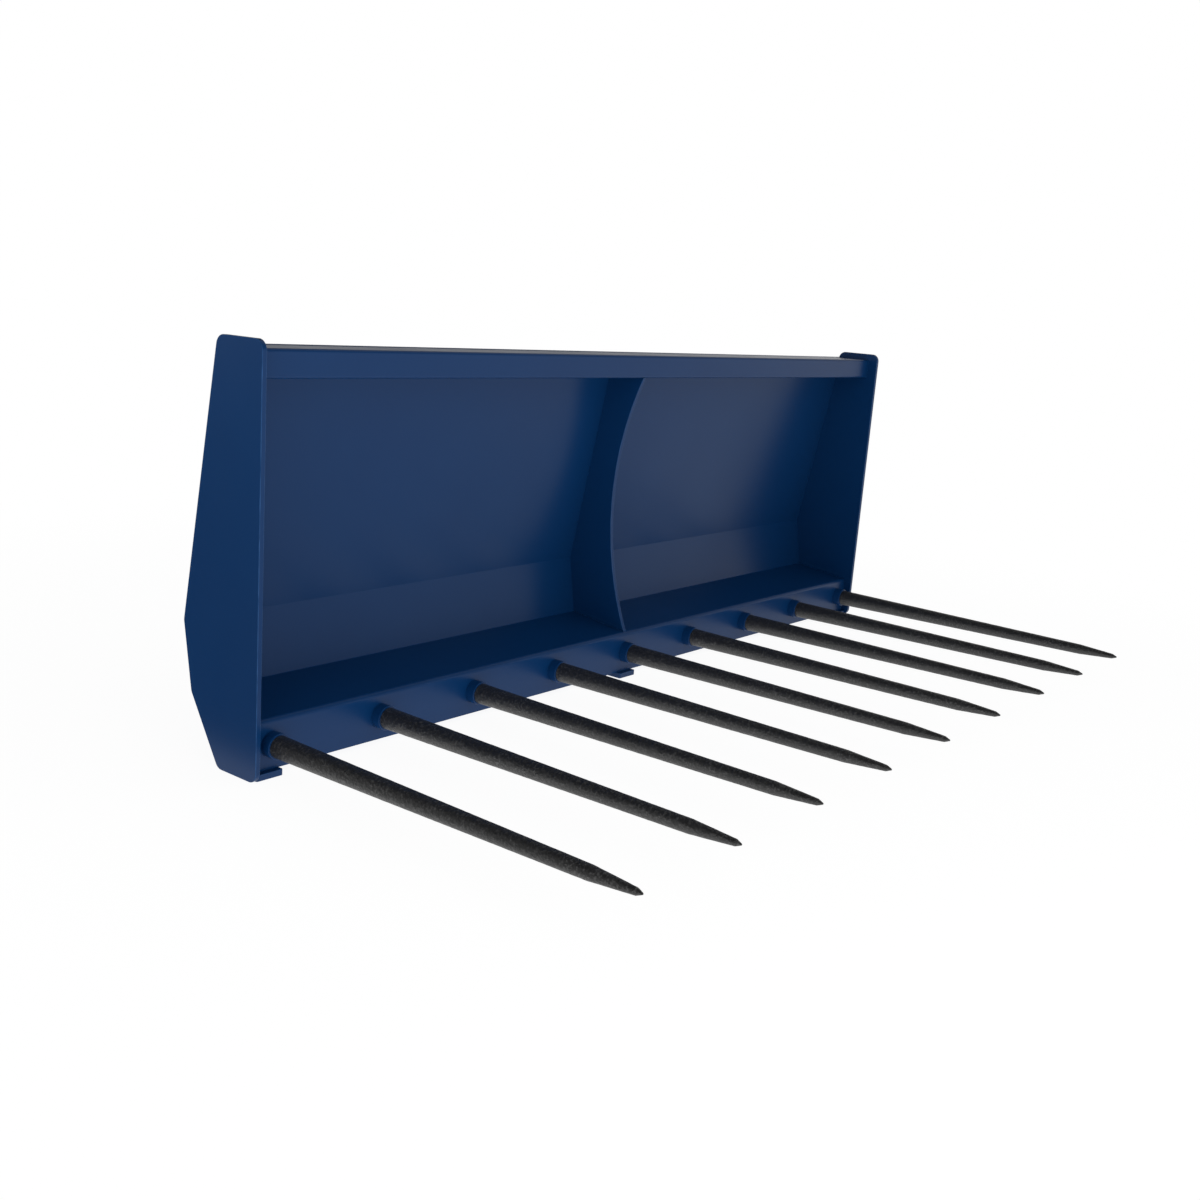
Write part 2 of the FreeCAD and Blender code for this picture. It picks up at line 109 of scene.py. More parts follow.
def blue_powder_coat():
    """Deep blue satin powder coat: faint clouding, orange peel, and a lighter blue on eased edges
    that is partly thinner paint and partly a painted highlight.
    """
    material, tree, output = new_material("blue_powder_coat")
    place = add_node(tree, "ShaderNodeTexCoord").outputs["Object"]
    cloud = mottle(tree, place, COAT_CLOUD_SCALE, 0.0, 1.0)
    body = blend(tree, cloud, COAT_BLUE, COAT_BLUE_THICK)
    rim = add_node(tree, "ShaderNodeAttribute", {"attribute_name": "rim"})
    patchy = mottle(tree, place, EDGE_WEAR_AND_HIGHLIGHT_SCALE, *EDGE_WEAR_AND_HIGHLIGHT_SHARES, detail=5.0)
    # Eased edges are blended in patches towards the lighter blue: thinner paint and a painted
    # highlight together.
    thin_and_highlit = add_node(tree, "ShaderNodeMath", {"operation": "MULTIPLY"},
                    _0=rim.outputs["Fac"], _1=patchy)
    colour = blend(tree, thin_and_highlit.outputs[0], body, COAT_BLUE_THIN_AND_HIGHLIT)
    sheen = mottle(tree, place, COAT_SHEEN_SCALE, *COAT_SHEEN, detail=1.0)
    peel = add_node(tree, "ShaderNodeTexNoise", Vector=place, Scale=PEEL_SCALE, Detail=1.0,
                    Roughness=0.4)
    relief = add_node(tree, "ShaderNodeBump", Strength=PEEL_STRENGTH, Distance=PEEL_HEIGHT,
                      Height=peel.outputs["Fac"])
    paint = add_node(tree, "ShaderNodeBsdfPrincipled", Base_Color=colour, Roughness=sheen,
                     Normal=relief.outputs["Normal"], Specular_IOR_Level=COAT_GLOSS)
    tree.links.new(paint.outputs["BSDF"], output.inputs["Surface"])
    return material


BLUE = blue_powder_coat()


def clean_shape(node):
    """A copy of a CAD node's shape, with its corners merged and its flats made whole."""
    shape = bmesh.new()
    shape.from_mesh(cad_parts[node].data)
    bmesh.ops.remove_doubles(shape, verts=shape.verts, dist=MERGE_REACH)
    bmesh.ops.dissolve_limit(shape, angle_limit=FLAT_ANGLE, verts=shape.verts, edges=shape.edges)
    return shape


def shaded_mesh(shape, name):
    """The mesh of a shape, shaded smooth between its creases."""
    for face in shape.faces:
        face.smooth = True
    mesh = bpy.data.meshes.new(name)
    shape.to_mesh(mesh)
    shape.free()
    mesh.set_sharp_from_angle(angle=CREASE_ANGLE)
    return mesh


def every_edge(middle):
    """All sharp edges of a piece are eased."""
    return True


def eased(node, edge, chosen=every_edge, wear_and_highlight=1.0):
    """A CAD node's shape; its chosen sharp edges are eased and marked as its rim, where the paint
    is thinner and a highlight is painted.
    """
    shape = clean_shape(node)
    sharp = [
        side for side in shape.edges
        if side.is_manifold and side.calc_face_angle() > CUT_ANGLE
        and chosen((side.verts[0].co + side.verts[1].co) / 2)
    ]
    new_faces = set()
    if sharp:
        cut = bmesh.ops.bevel(shape, geom=sharp, offset=edge, offset_type="OFFSET",
                              segments=EDGE_STEPS, profile=0.5, affect="EDGES", clamp_overlap=True)
        new_faces = set(cut["faces"])
    # The rim marks the eased edges for the lighter blue, which is thinner paint and a painted
    # highlight together.
    rim = shape.loops.layers.float.new("rim")
    for face in shape.faces:
        for corner in face.loops:
            corner[rim] = wear_and_highlight if face in new_faces else 0.0
    return shaded_mesh(shape, node)


def add_piece(name, mesh, material, slot, *nodes):
    """A finished piece, its flats shaded flat, that stands for the CAD nodes named."""
    piece = bpy.data.objects.new(name, mesh)
    scene.collection.objects.link(piece)
    weighted = piece.modifiers.new("flats", "WEIGHTED_NORMAL")
    weighted.keep_sharp = True
    depsgraph = bpy.context.evaluated_depsgraph_get()
    finished = bpy.data.meshes.new_from_object(
        piece.evaluated_get(depsgraph), preserve_all_data_layers=True, depsgraph=depsgraph)
    piece.modifiers.clear()
    piece.data = finished
    finished.materials.clear()
    finished.materials.append(material)
    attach(piece, "root")
    if nodes:
        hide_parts(*nodes)
    return piece


for side in ("left", "right"):
    node = f"side_plate_{side}"
    add_piece(f"painted_{node}", eased(node, PLATE_EDGE), BLUE, "blue_paint", node)

# Back sheet
# One steel sheet, bent three times on a press brake: a leaning upper panel, a lower panel, a ledge
# that comes forward over the beam, and an apron down the beam's front. It is welded in between the
# side plates.

FOLD_RADIUS = 1.0 * MM
FOLD_STEPS = 4
FOLD_ANGLE = math.radians(12)
SHEET_SPAN = 1000 * MM


def folded_sheet():
    """The sheet with a small radius in its two hollow folds, which run from plate to plate."""
    shape = clean_shape("back_sheet")
    folds = [
        side for side in shape.edges
        if side.is_manifold and not side.is_convex and side.calc_face_angle() > FOLD_ANGLE
        and side.calc_length() > SHEET_SPAN
    ]
    bmesh.ops.bevel(shape, geom=folds, offset=FOLD_RADIUS, offset_type="OFFSET",
                    segments=FOLD_STEPS, profile=0.5, affect="EDGES", clamp_overlap=True)
    return shaded_mesh(shape, "back_sheet")


add_piece("painted_back_sheet", folded_sheet(), BLUE, "blue_paint", "back_sheet")

# Top tube, tine beam, centre rib
# Two cold-formed steel tubes are welded between the side plates, and a plate rib with a hollow
# front edge ties them together in the middle. The rib's cut edge is eased.

RIB_EDGE = 0.8 * MM
RIB_END = 3 * MM

rib_low, rib_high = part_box("center_rib")


def mill_corner(middle):
    """A tube's corners are round from the mill, so none of its edges is eased."""
    return False


def rib_front(middle):
    """The rib's front edge is the part that is clear of the sheet, the beam and the tube."""
    clear = rib_low.z + RIB_END < middle.z < rib_high.z - RIB_END
    return clear and middle.y < (rib_low.y + rib_high.y) / 2


for node, chosen in (("top_tube", mill_corner), ("tine_beam", mill_corner),
                     ("center_rib", rib_front)):
    add_piece(f"painted_{node}", eased(node, RIB_EDGE, chosen), BLUE, "blue_paint", node)

# Skids
# Three short flats of steel are welded under the beam, and the fork stands on them. Their edges
# are eased.

SKID_EDGE = 0.8 * MM

for side in ("left", "center", "right"):
    node = f"skid_{side}"
    add_piece(f"painted_{node}", eased(node, SKID_EDGE), BLUE, "blue_paint", node)

# Tine sockets
# Turned steel sleeves with a conical bore, pushed through the apron and the beam and welded in.
# They are painted with the beam, and their slightly flared mouths stand out of it.

TINE_NUMBERS = range(1, 10)
SOCKET_EDGE = 0.8 * MM
# The sockets' outer mouth edges take the lighter blue at full strength: a painted highlight over
# thinner paint.
SOCKET_WEAR_AND_HIGHLIGHT = 2.5
MOUTH_FLARE = 1.2 * MM
MOUTH_DEPTH = 2 * MM
MOUTH_RING = 1.1 * SOCKET_EDGE


def socket_sleeve(node):
    """A sleeve with a slightly flared mouth, eased at its outer edge, which gets a strong painted
    highlight over thinner paint.
    """
    low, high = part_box(node)
    axis, rim_radius = (low + high) / 2, (high.x - low.x) / 2

    def outer_rim(middle):
        """The outer edge of the sleeve's mouth."""
        reach = math.hypot(middle.x - axis.x, middle.z - axis.z)
        return middle.y < low.y + SOCKET_EDGE and reach > rim_radius - SOCKET_EDGE

    sleeve = eased(node, SOCKET_EDGE, outer_rim, SOCKET_WEAR_AND_HIGHLIGHT)
    for corner in sleeve.vertices:
        arm = Vector((corner.co.x - axis.x, 0.0, corner.co.z - axis.z))
        if corner.co.y < low.y + MOUTH_DEPTH and arm.length > rim_radius - MOUTH_RING:
            corner.co += arm.normalized() * MOUTH_FLARE
    return sleeve


for number in TINE_NUMBERS:
    node = f"tine_socket_{number}"
    add_piece(f"painted_{node}", socket_sleeve(node), BLUE, "blue_paint", node)

# Tines
# Round forged steel tines, hardened and dipped black. The skin keeps the grain of the forging, the
# point is ground on, and the tail behind the conical shank carries a rolled thread. Each is drawn
# into its socket.

TINE_BLACK = (0.0190, 0.0190, 0.0194, 1.0)
TINE_GREY = (0.1150, 0.1150, 0.1160, 1.0)
GRAIN_SCALE, LUMP_SCALE = 270.0, 90.0
GRAIN_PROUD = (0.53, 0.65)
GRAIN_STRENGTH, GRAIN_HEIGHT = 1.0, 1.6 * MM
TINE_CLOUD_SCALE, TINE_CLOUD = 9.0, (0.15, 0.75)
TINE_SHEEN_SCALE, TINE_SHEEN = 300.0, (0.28, 0.50)
TINE_GLOSS = 0.85
SKIN_HEIGHT = 0.75 * MM
SKIN_SCALE = 95.0
SKIN_STEP = 2.2 * MM
TINE_SIDES = 44
TINE_CREASE = math.radians(50)
TIP_ROOM = 0.8 * MM
TIP_RADIUS = 1.0 * MM
NOSE_LENGTH, NOSE_RADIUS = 9 * MM, 4.8 * MM
POINT_LENGTH, NECK_RADIUS = 80 * MM, 10.2 * MM
ROOT_RADIUS = 17.1 * MM
TAIL_RADIUS = 12.5 * MM
SHANK_GAP = 2 * MM
THREAD_RADIUS = 11 * MM
THREAD_PITCH = 1.5 * MM
THREAD_DEPTH = 0.9 * MM
THREAD_CORE_SHARE = 0.8
THREAD_SIDES = 28
RIDGE_SIDES = 4


def forged_black():
    """Black skin on forged steel: coarse grain, grey where it stands proud, uneven sheen."""
    material, tree, output = new_material("forged_black")
    place = add_node(tree, "ShaderNodeTexCoord").outputs["Object"]
    grain = add_node(tree, "ShaderNodeTexNoise", Vector=place, Scale=GRAIN_SCALE, Detail=3.0,
                     Roughness=0.6).outputs["Fac"]
    lumps = add_node(tree, "ShaderNodeTexNoise", Vector=place, Scale=LUMP_SCALE, Detail=2.0,
                     Roughness=0.5).outputs["Fac"]
    proud = add_node(tree, "ShaderNodeMapRange", Value=grain, From_Min=GRAIN_PROUD[0],
                     From_Max=GRAIN_PROUD[1]).outputs["Result"]
    cloud = mottle(tree, place, TINE_CLOUD_SCALE, *TINE_CLOUD)
    show = add_node(tree, "ShaderNodeMath", {"operation": "MULTIPLY"}, _0=proud, _1=cloud)
    colour = blend(tree, show.outputs[0], TINE_BLACK, TINE_GREY)
    sheen = mottle(tree, place, TINE_SHEEN_SCALE, *TINE_SHEEN, detail=2.0)
    height = add_node(tree, "ShaderNodeMath", {"operation": "ADD"}, _0=grain, _1=lumps)
    relief = add_node(tree, "ShaderNodeBump", Strength=GRAIN_STRENGTH, Distance=GRAIN_HEIGHT,
                      Height=height.outputs[0])
    skin = add_node(tree, "ShaderNodeBsdfPrincipled", Base_Color=colour, Roughness=sheen,
                    Normal=relief.outputs["Normal"], Metallic=0.0, Specular_IOR_Level=TINE_GLOSS)
    tree.links.new(skin.outputs["BSDF"], output.inputs["Surface"])
    return material


FORGED = forged_black()


def geometry_tree(name, sizes):
    """A geometry tree with named inputs, and its input sockets and output node."""
    tree = bpy.data.node_groups.new(name, "GeometryNodeTree")
    sockets = tree.interface
    sockets.new_socket(name="Geometry", in_out="INPUT", socket_type="NodeSocketGeometry")
    for size, kind in sizes.items():
        sockets.new_socket(name=size, in_out="INPUT", socket_type=kind)
    sockets.new_socket(name="Geometry", in_out="OUTPUT", socket_type="NodeSocketGeometry")
    return tree, tree.nodes.new("NodeGroupInput").outputs, tree.nodes.new("NodeGroupOutput")


def grown(name, tree, base, **sizes):
    """The mesh that a geometry tree grows from a base mesh with these sizes."""
    source = bpy.data.objects.new(name, base)
    scene.collection.objects.link(source)
    modifier = source.modifiers.new(name, "NODES")
    modifier.node_group = tree
    for item in tree.interface.items_tree:
        if item.in_out == "INPUT" and item.name in sizes:
            modifier[item.identifier] = sizes[item.name]
    depsgraph = bpy.context.evaluated_depsgraph_get()
    mesh = bpy.data.meshes.new_from_object(source.evaluated_get(depsgraph), depsgraph=depsgraph)
    mesh.name = name
    bpy.data.objects.remove(source)
    return mesh


def math_node(tree, operation, first, second=0.0, third=0.0):
    """The result of a sum on numbers or sockets."""
    return add_node(tree, "ShaderNodeMath", {"operation": operation},
                    _0=first, _1=second, _2=third).outputs[0]


def dress(tree, result, shape, material):
    """Closes a geometry tree: its shape is made real and gets its material."""
    real = add_node(tree, "GeometryNodeRealizeInstances", Geometry=shape)
    dressed = add_node(tree, "GeometryNodeSetMaterial", Geometry=real.outputs["Geometry"],
                       Material=material)
    tree.links.new(dressed.outputs["Geometry"], result.inputs["Geometry"])


def tine_tree():
    """A round bar along Y; its radius is the least of four tapers, its skin raised by grain."""
    tree, size, result = geometry_tree("forged_tine", {
        "Length": "NodeSocketFloat", "Reach": "NodeSocketFloat", "Seed": "NodeSocketFloat",
        "Place": "NodeSocketVector", "Material": "NodeSocketMaterial",
    })
    end = add_node(tree, "ShaderNodeCombineXYZ", Y=size["Length"])
    bar = add_node(tree, "GeometryNodeCurvePrimitiveLine", End=end.outputs["Vector"])
    rings = add_node(tree, "GeometryNodeResampleCurve", {"mode": "LENGTH"},
                     Curve=bar.outputs["Curve"], Length=SKIN_STEP)
    along = add_node(tree, "GeometryNodeSplineParameter").outputs["Length"]
    radius = None
    for start, start_radius, finish, finish_radius in (
        (0.0, TIP_RADIUS, NOSE_LENGTH, NOSE_RADIUS),
        (NOSE_LENGTH, NOSE_RADIUS, POINT_LENGTH, NECK_RADIUS),
        (POINT_LENGTH, NECK_RADIUS, size["Reach"], ROOT_RADIUS),
        (size["Reach"], ROOT_RADIUS, size["Length"], TAIL_RADIUS),
    ):
        taper = add_node(tree, "ShaderNodeMapRange", {"clamp": False}, Value=along,
                         From_Min=start, From_Max=finish,
                         To_Min=start_radius, To_Max=finish_radius).outputs["Result"]
        radius = taper if radius is None else math_node(tree, "MINIMUM", radius, taper)
    circle = add_node(tree, "GeometryNodeCurvePrimitiveCircle", Resolution=TINE_SIDES, Radius=1.0)
    tube = add_node(tree, "GeometryNodeCurveToMesh", Curve=rings.outputs["Curve"], Scale=radius,
                    Profile_Curve=circle.outputs["Curve"], Fill_Caps=True)
    spot = add_node(tree, "GeometryNodeInputPosition").outputs["Position"]
    grain = add_node(tree, "ShaderNodeTexNoise", {"noise_dimensions": "4D"}, Vector=spot,
                     W=size["Seed"], Scale=SKIN_SCALE, Detail=4.0, Roughness=0.6)
    height = math_node(tree, "MULTIPLY", grain.outputs["Fac"], SKIN_HEIGHT)
    normal = add_node(tree, "GeometryNodeInputNormal").outputs["Normal"]
    lift = add_node(tree, "ShaderNodeVectorMath", {"operation": "SCALE"}, _0=normal, Scale=height)
    skin = add_node(tree, "GeometryNodeSetPosition", Geometry=tube.outputs["Mesh"],
                    Offset=lift.outputs["Vector"])
    moved = add_node(tree, "GeometryNodeTransform", Geometry=skin.outputs["Geometry"],
                     Translation=size["Place"])
    smooth = add_node(tree, "GeometryNodeSetShadeSmooth", Geometry=moved.outputs["Geometry"])
    dress(tree, result, smooth.outputs["Geometry"], size["Material"])
    return tree


def thread_tree():
    """A rolled thread along Y: a core with one ridge that winds round it."""
    tree, size, result = geometry_tree("rolled_thread", {
        "Length": "NodeSocketFloat", "Place": "NodeSocketVector", "Material": "NodeSocketMaterial",
    })
    ridge_radius = THREAD_RADIUS - THREAD_DEPTH / 2
    inset = math_node(tree, "SUBTRACT", size["Length"], 2 * THREAD_DEPTH)
    turns = math_node(tree, "DIVIDE", inset, THREAD_PITCH)
    helix = add_node(tree, "GeometryNodeCurveSpiral", Resolution=THREAD_SIDES, Rotations=turns,
                     Start_Radius=ridge_radius, End_Radius=ridge_radius, Height=inset)
    diamond = add_node(tree, "GeometryNodeCurvePrimitiveCircle", Resolution=RIDGE_SIDES,
                       Radius=THREAD_DEPTH / 2)
    ridge = add_node(tree, "GeometryNodeCurveToMesh", Curve=helix.outputs["Curve"],
                     Profile_Curve=diamond.outputs["Curve"], Fill_Caps=True)
    raised = add_node(tree, "ShaderNodeCombineXYZ", Z=THREAD_DEPTH)
    lifted = add_node(tree, "GeometryNodeTransform", Geometry=ridge.outputs["Mesh"],
                      Translation=raised.outputs["Vector"])
    core = add_node(tree, "GeometryNodeMeshCylinder", Vertices=THREAD_SIDES,
                    Radius=THREAD_RADIUS - THREAD_DEPTH * THREAD_CORE_SHARE, Depth=size["Length"])
    half = add_node(tree, "ShaderNodeCombineXYZ",
                    Z=math_node(tree, "MULTIPLY", size["Length"], 0.5))
    stood = add_node(tree, "GeometryNodeTransform", Geometry=core.outputs["Mesh"],
                     Translation=half.outputs["Vector"])
    both = tree.nodes.new("GeometryNodeJoinGeometry")
    tree.links.new(stood.outputs["Geometry"], both.inputs["Geometry"])
    tree.links.new(lifted.outputs["Geometry"], both.inputs["Geometry"])
    laid = add_node(tree, "GeometryNodeTransform", Geometry=both.outputs["Geometry"],
                    Rotation=(-math.pi / 2, 0.0, 0.0), Translation=size["Place"])
    dress(tree, result, laid.outputs["Geometry"], size["Material"])
    return tree


TINE_TREE = tine_tree()
THREAD_TREE = thread_tree()

for number in TINE_NUMBERS:
    node = f"tine_{number}"
    low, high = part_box(node)
    socket_low, socket_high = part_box(f"tine_socket_{number}")
    centre = (low + high) / 2
    tip, shank_end = low.y + TIP_ROOM, socket_high.y - SHANK_GAP
    bar = grown(
        f"{node}_bar", TINE_TREE, bpy.data.meshes.new("empty"),
        Length=shank_end - tip, Reach=socket_low.y - tip, Seed=float(number),
        Place=(centre.x, tip, centre.z), Material=FORGED,
    )
    thread = grown(
        f"{node}_tail", THREAD_TREE, bpy.data.meshes.new("empty"),
        Length=high.y - shank_end, Place=(centre.x, shank_end, centre.z), Material=FORGED,
    )
    whole = bmesh.new()
    whole.from_mesh(bar)
    whole.from_mesh(thread)
    mesh = bpy.data.meshes.new(node)
    whole.to_mesh(mesh)
    whole.free()
    mesh.set_sharp_from_angle(angle=TINE_CREASE)
    add_piece(f"forged_{node}", mesh, FORGED, "forged_black", node)

# Tine nuts
# Hexagon nuts of zinc-plated steel pull the shanks tight into the sockets from behind the beam.
# Their edges are lightly eased from the making.

NUT_EDGE = 0.35 * MM
ZINC_PALE = (0.56, 0.57, 0.58, 1.0)
ZINC_DULL = (0.36, 0.37, 0.38, 1.0)
ZINC_CLOUD_SCALE = 55.0
ZINC_SHEEN_SCALE, ZINC_SHEEN = 190.0, (0.28, 0.48)
ZINC_MARK_SCALE, ZINC_MARK_STRENGTH, ZINC_MARK_HEIGHT = 900.0, 0.2, 0.2 * MM


def zinc_plating():
    """Zinc plating: pale metal, dulled in clouds, with fine rolling marks."""
    material, tree, output = new_material("zinc_plating")
    place = add_node(tree, "ShaderNodeTexCoord").outputs["Object"]
    cloud = mottle(tree, place, ZINC_CLOUD_SCALE, 0.0, 1.0, detail=4.0)
    colour = blend(tree, cloud, ZINC_PALE, ZINC_DULL)
    sheen = mottle(tree, place, ZINC_SHEEN_SCALE, *ZINC_SHEEN)
    marks = add_node(tree, "ShaderNodeTexNoise", Vector=place, Scale=ZINC_MARK_SCALE, Detail=2.0)
    relief = add_node(tree, "ShaderNodeBump", Strength=ZINC_MARK_STRENGTH,
                      Distance=ZINC_MARK_HEIGHT, Height=marks.outputs["Fac"])
    metal = add_node(tree, "ShaderNodeBsdfPrincipled", Base_Color=colour, Roughness=sheen,
                     Normal=relief.outputs["Normal"], Metallic=1.0)
    tree.links.new(metal.outputs["BSDF"], output.inputs["Surface"])
    return material


ZINC = zinc_plating()

for number in TINE_NUMBERS:
    node = f"tine_nut_{number}"
    add_piece(f"plated_{node}", eased(node, NUT_EDGE), ZINC, "zinc_plate", node)

# Loader hitch
# Two thick plates, cut to shape and welded upright behind the sheet. The hook at the top hangs on
# the loader's cross bar, and a ring welded into the eye below takes its locking pin. The ring's
# bore is bare steel.

HITCH_EDGE = 1.2 * MM
BUSH_EDGE = 1.0 * MM
STEEL_BRIGHT = (0.40, 0.39, 0.375, 1.0)
STEEL_DULL = (0.20, 0.195, 0.19, 1.0)
STEEL_CLOUD_SCALE = 70.0
STEEL_SHEEN_SCALE, STEEL_SHEEN = 120.0, (0.25, 0.42)
TOOL_RING_SCALE, TOOL_RING_STRENGTH, TOOL_RING_HEIGHT = 900.0, 0.35, 0.2 * MM
BORE_TILT = 0.3


def bored_steel():
    """Machined steel in the bore: fine rings left by the tool, greyed by dried grease."""
    material, tree, output = new_material("bored_steel")
    place = add_node(tree, "ShaderNodeTexCoord").outputs["Object"]
    cloud = mottle(tree, place, STEEL_CLOUD_SCALE, 0.0, 1.0, detail=4.0)
    colour = blend(tree, cloud, STEEL_BRIGHT, STEEL_DULL)
    rings = add_node(tree, "ShaderNodeTexWave", {"bands_direction": "X"}, Vector=place,
                     Scale=TOOL_RING_SCALE, Distortion=0.6, Detail=1.0)
    relief = add_node(tree, "ShaderNodeBump", Strength=TOOL_RING_STRENGTH,
                      Distance=TOOL_RING_HEIGHT, Height=rings.outputs["Fac"])
    sheen = mottle(tree, place, STEEL_SHEEN_SCALE, *STEEL_SHEEN)
    metal = add_node(tree, "ShaderNodeBsdfPrincipled", Base_Color=colour, Roughness=sheen,
                     Normal=relief.outputs["Normal"], Metallic=1.0)
    tree.links.new(metal.outputs["BSDF"], output.inputs["Surface"])
    return material


BORED = bored_steel()

for side in ("left", "right"):
    plate, bush = f"hitch_plate_{side}", f"hitch_bush_{side}"
    add_piece(f"painted_{plate}", eased(plate, HITCH_EDGE), BLUE, "blue_paint", plate)
    ring = add_piece(f"painted_{bush}", eased(bush, BUSH_EDGE), BLUE, "blue_paint", bush)
    ring.data.materials.append(BORED)
    low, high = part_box(bush)
    centre = (low + high) / 2
    for face in ring.data.polygons:
        arm = face.center - centre
        inward = face.normal.y * arm.y + face.normal.z * arm.z < 0
        if inward and abs(face.normal.x) < BORE_TILT:
            face.material_index = 1

# Weld seams
# Fillet welds join the hitch plates to the sheet, the rings to their plates, the sheet to the side
# plates, the sockets to the back of the beam and the skids to its underside. They are run by hand,
# in short even ripples, and painted over.

HITCH_BEAD = 3.2 * MM
RING_BEAD = 2.6 * MM
PLATE_BEAD = 2.8 * MM
SOCKET_BEAD = 2.2 * MM
SKID_BEAD = 2.0 * MM
BEAD_SIDES = 10
BEAD_SHARE = 0.88
RIPPLE_PITCH = 3.4 * MM
RIPPLE_SHARE = 0.07
SWELL_SHARE = 0.35
DRIFT_SCALE, DRIFT_TURN = 60.0, 5.0
SEAM_STEP = 0.85 * MM
RING_STEPS = 40
WELD_REACH = 1.5 * MM
FLUSH_REACH = 0.02 * MM
FLANK_TILT = 0.5
REAR_TILT = 0.1
TOUCH_SHARES = (0.1, 0.5, 0.9)


def seam_tree():
    """A bead that follows its line, swelling and drawing in at each ripple."""
    tree, size, result = geometry_tree("weld_seam", {
        "Bead": "NodeSocketFloat", "Material": "NodeSocketMaterial",
    })
    line = add_node(tree, "GeometryNodeMeshToCurve", Mesh=size["Geometry"])
    steps = add_node(tree, "GeometryNodeResampleCurve", {"mode": "LENGTH"},
                     Curve=line.outputs["Curve"], Length=SEAM_STEP)
    along = add_node(tree, "GeometryNodeSplineParameter").outputs["Length"]
    spot = add_node(tree, "GeometryNodeInputPosition").outputs["Position"]
    drift = add_node(tree, "ShaderNodeTexNoise", Vector=spot, Scale=DRIFT_SCALE,
                     Detail=2.0).outputs["Fac"]
    phase = math_node(tree, "MULTIPLY", along, 2 * math.pi / RIPPLE_PITCH)
    phase = math_node(tree, "ADD", phase, math_node(tree, "MULTIPLY", drift, DRIFT_TURN))
    ripple = math_node(tree, "MULTIPLY", math_node(tree, "SINE", phase), RIPPLE_SHARE)
    swell = math_node(tree, "MULTIPLY", math_node(tree, "SUBTRACT", drift, 0.5), SWELL_SHARE)
    factor = math_node(tree, "ADD", math_node(tree, "ADD", ripple, swell), BEAD_SHARE)
    radius = math_node(tree, "MULTIPLY", size["Bead"], factor)
    circle = add_node(tree, "GeometryNodeCurvePrimitiveCircle", Resolution=BEAD_SIDES, Radius=1.0)
    bead = add_node(tree, "GeometryNodeCurveToMesh", Curve=steps.outputs["Curve"], Scale=radius,
                    Profile_Curve=circle.outputs["Curve"], Fill_Caps=True)
    smooth = add_node(tree, "GeometryNodeSetShadeSmooth", Geometry=bead.outputs["Mesh"])
    dress(tree, result, smooth.outputs["Geometry"], size["Material"])
    return tree


SEAM_TREE = seam_tree()


def seam(name, bead, edges):
    """A painted weld along edges, each a pair of points."""
    paths = bmesh.new()
    for start, finish in edges:
        paths.edges.new((paths.verts.new(start), paths.verts.new(finish)))
    bmesh.ops.remove_doubles(paths, verts=paths.verts, dist=MERGE_REACH)
    base = bpy.data.meshes.new(f"{name}_line")
    paths.to_mesh(base)
    paths.free()
    add_piece(name, grown(name, SEAM_TREE, base, Bead=bead, Material=BLUE), BLUE, "blue_paint")


def ring_edges(centre, radius, axis):
    """The edges of a ring about a centre, square to the X or the Y axis."""
    points = []
    for step in range(RING_STEPS):
        turn = 2 * math.pi * step / RING_STEPS
        across, up = radius * math.cos(turn), radius * math.sin(turn)
        points.append(centre + Vector((0, across, up) if axis == "X" else (across, 0, up)))
    return list(zip(points, points[1:] + points[:1]))


def end_edges(node, place, neighbours, rear_only=False):
    """The edges round a node's flat end at an X place that lie against its neighbours."""
    trees = []
    for neighbour in neighbours:
        beside = clean_shape(neighbour)
        trees.append(BVHTree.FromBMesh(beside))
        beside.free()
    shape = clean_shape(node)
    edges = []
    for side in shape.edges:
        start, finish = (corner.co.copy() for corner in side.verts)
        if max(abs(start.x - place), abs(finish.x - place)) > FLUSH_REACH:
            continue
        flanks = [face.normal for face in side.link_faces if abs(face.normal.x) < FLANK_TILT]
        if rear_only and not any(normal.y > REAR_TILT for normal in flanks):
            continue
        touches = [
            any((tree.find_nearest(start.lerp(finish, share))[3] or 0) < WELD_REACH
                for tree in trees)
            for share in TOUCH_SHARES
        ]
        if all(touches):
            edges.append((start, finish))
    shape.free()
    return edges


sheet_low, sheet_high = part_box("back_sheet")
for side, wall in (("left", sheet_low.x), ("right", sheet_high.x)):
    plate, bush = f"hitch_plate_{side}", f"hitch_bush_{side}"
    low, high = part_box(plate)
    bush_low, bush_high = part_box(bush)
    centre = (bush_low + bush_high) / 2
    ring_radius = (bush_high.z - bush_low.z) / 2
    behind, rings = [], []
    for face in (low.x, high.x):
        behind += end_edges(plate, face, ("back_sheet", "tine_beam", "top_tube"))
        rings += ring_edges(Vector((face, centre.y, centre.z)), ring_radius, "X")
    seam(f"weld_{plate}", HITCH_BEAD, behind)
    seam(f"weld_{bush}", RING_BEAD, rings)
    along = end_edges("back_sheet", wall, (f"side_plate_{side}",), rear_only=True)
    seam(f"weld_side_plate_{side}", PLATE_BEAD, along)

beam_low, beam_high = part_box("tine_beam")
for number in TINE_NUMBERS:
    low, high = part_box(f"tine_socket_{number}")
    centre = (low + high) / 2
    ring = ring_edges(Vector((centre.x, beam_high.y, centre.z)), (high.x - low.x) / 2, "Y")
    seam(f"weld_socket_{number}", SOCKET_BEAD, ring)
for side in ("left", "center", "right"):
    low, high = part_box(f"skid_{side}")
    runs = []
    for edge in (low.x, high.x):
        if abs(edge) < beam_high.x - SKID_BEAD:
            runs.append((Vector((edge, beam_low.y, high.z)), Vector((edge, high.y, high.z))))
    seam(f"weld_skid_{side}", SKID_BEAD, runs)

# Studio
# A pale floor and a white surround. Paint and tines see plain soft glows on each side, a dim sky
# and a bright low wall, and two wide soft lamps stand in front and on the left. The camera stands
# where the photograph was taken from, in front of the left end and a little above it.

